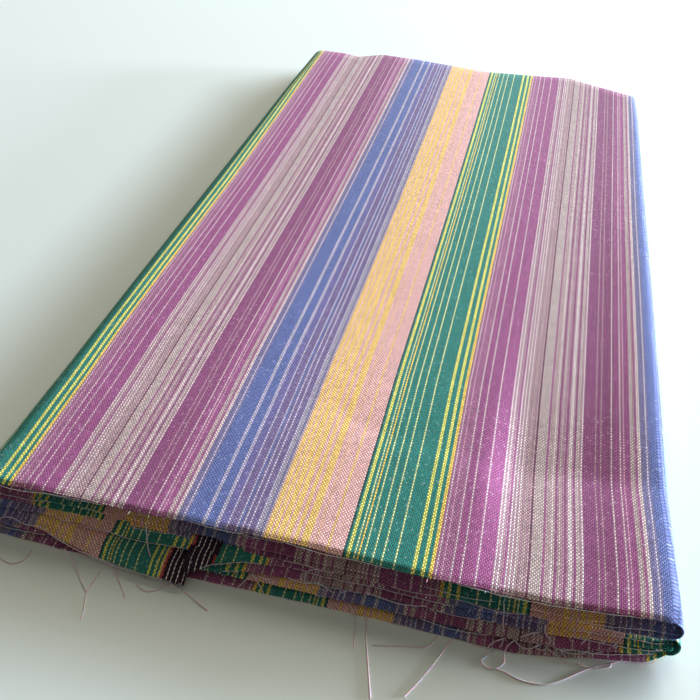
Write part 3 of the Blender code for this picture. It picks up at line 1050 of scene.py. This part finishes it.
def addRoutes(piece, routes):
    for route in routes.values():
        points = [toFrame(x * mm, y * mm, z * mm) for x, y, z in route]
        addRoute(piece.data, smoothRoute(points, yarnSizes["step"]))


def makeFloorYarns(material):
    piece = makeCurve("looseYarns", material)
    addRoutes(piece, floorYarns)
    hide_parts("ravelled_yarns")
    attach(piece, "root")
    return piece


def looseStretches(part, face):
    # The last thread of weft along a cut edge, where it has come loose
    found = [[]]
    steps = yarnSizes["edgeSteps"]
    least, byLooseness = yarnSizes["looseOut"]
    for step in range(2, steps - 1):
        point = clothPoint(part, step / steps, face, 0, 0)[0]
        loose = ripple(point.x, part["steps"] * mm, yarnSizes["looseGrain"], 11 + face)
        if loose > 0:
            point.y -= (least + byLooseness * loose) * mm
            shiver = 0.2 * ripple(point.x, 0, 0.004, 7 + face)
            point.z += (shiver - yarnSizes["looseDrop"] * loose) * mm
            found[-1].append(point)
        elif found[-1]:
            found.append([])
    return [stretch for stretch in found if len(stretch) > 2]


def makeEdgeYarns(material):
    piece = makeCurve("edgeYarns", material)
    addRoutes(piece, edgeYarns)
    runs = [part for part in pathPieces if part["kind"] == "run"]
    for part in runs:
        for face in (1, -1):
            for stretch in looseStretches(part, face):
                addRoute(piece.data, stretch, yarnSizes["threadShare"])
    # short frayed ends
    for _ in range(yarnSizes["hairs"]):
        part, face = random.choice(runs), random.choice((1, -1))
        root = clothPoint(part, random.uniform(0.02, 0.98), face, 0, 0)[0]
        length = random.uniform(*yarnSizes["hairLengths"]) * mm
        aside, up = random.uniform(*yarnSizes["hairAcross"]), random.uniform(*yarnSizes["hairUp"])
        way = Vector((aside, -1, up)).normalized()
        sag = Vector((0, 0, -yarnSizes["hairDroop"] * length))
        line = [root, root + way * length * 0.5, root + way * length + sag]
        addRoute(piece.data, line, yarnSizes["hairShare"])
    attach(piece, "root")
    return piece


# Floor and light

sunny = (1.0, 0.99, 0.80)
clear = (0.72, 0.84, 0.94)
studio = {
    "floor": dye(236, 240, 240),
    "floorHalf": 4,             # metres
    "floorRoughness": 0.7,
    "sky": sunny,
    "skyStrength": 0.165,
    "windowsAway": 5.0,         # metres
}
# Daylight from a high window behind the pack, and from two low ones further to the right:
# degrees right of straight behind and degrees up, size in metres, and power
windows = {
    "highWindow": {"right": 13, "up": 30, "size": (3.9, 2.3), "power": 190.0, "colour": sunny},
    "lowWindow": {"right": 40, "up": 10.8, "size": (4.6, 0.25), "power": 930.0, "colour": clear},
    "sideWindow": {"right": 75, "up": 4.2, "size": (1.35, 0.38), "power": 560.0, "colour": clear},
}


def windowPlace(light):
    right, up = math.radians(light["right"]), math.radians(light["up"])
    away = studio["windowsAway"]
    return Vector((away * math.sin(right), away * math.cos(right), away * math.tan(up)))


def makeStudio():
    mesh = bpy.data.meshes.new("floor")
    bm = bmesh.new()
    bmesh.ops.create_grid(bm, x_segments=1, y_segments=1, size=studio["floorHalf"])
    bm.to_mesh(mesh)
    bm.free()
    floor = bpy.data.objects.new("floor", mesh)
    bpy.context.scene.collection.objects.link(floor)
    material = bpy.data.materials.new("paleTable")
    material.use_nodes = True
    shader = material.node_tree.nodes["Principled BSDF"]
    shader.inputs["Base Color"].default_value = studio["floor"]
    shader.inputs["Roughness"].default_value = studio["floorRoughness"]
    mesh.materials.append(material)

    for name, light in windows.items():
        data = bpy.data.lights.new(name, "AREA")
        data.shape = "RECTANGLE"
        data.size, data.size_y = light["size"]
        data.energy = light["power"]
        data.color = light["colour"]
        lamp = bpy.data.objects.new(name, data)
        lamp.location = windowPlace(light)
        lamp.rotation_euler = (-windowPlace(light)).to_track_quat("-Z", "Y").to_euler()
        bpy.context.scene.collection.objects.link(lamp)

    world = bpy.data.worlds.new("room")
    world.use_nodes = True
    sky = world.node_tree.nodes["Background"]
    sky.inputs["Color"].default_value = (*studio["sky"], 1)
    sky.inputs["Strength"].default_value = studio["skyStrength"]
    bpy.context.scene.world = world
    bpy.context.scene.view_settings.view_transform = "Standard"


random.seed(7)
makeCamera()
cotton = makeCotton()
print("stripes:", len(stripeRuns()), "runs of threads")
folded = makeCloth(cotton)
pinkYarn = makeYarnMaterial()
looseYarns = makeFloorYarns(pinkYarn)
raisedYarns = makeEdgeYarns(pinkYarn)
print("yarns:", len(floorYarns) + len(edgeYarns))
makeStudio()
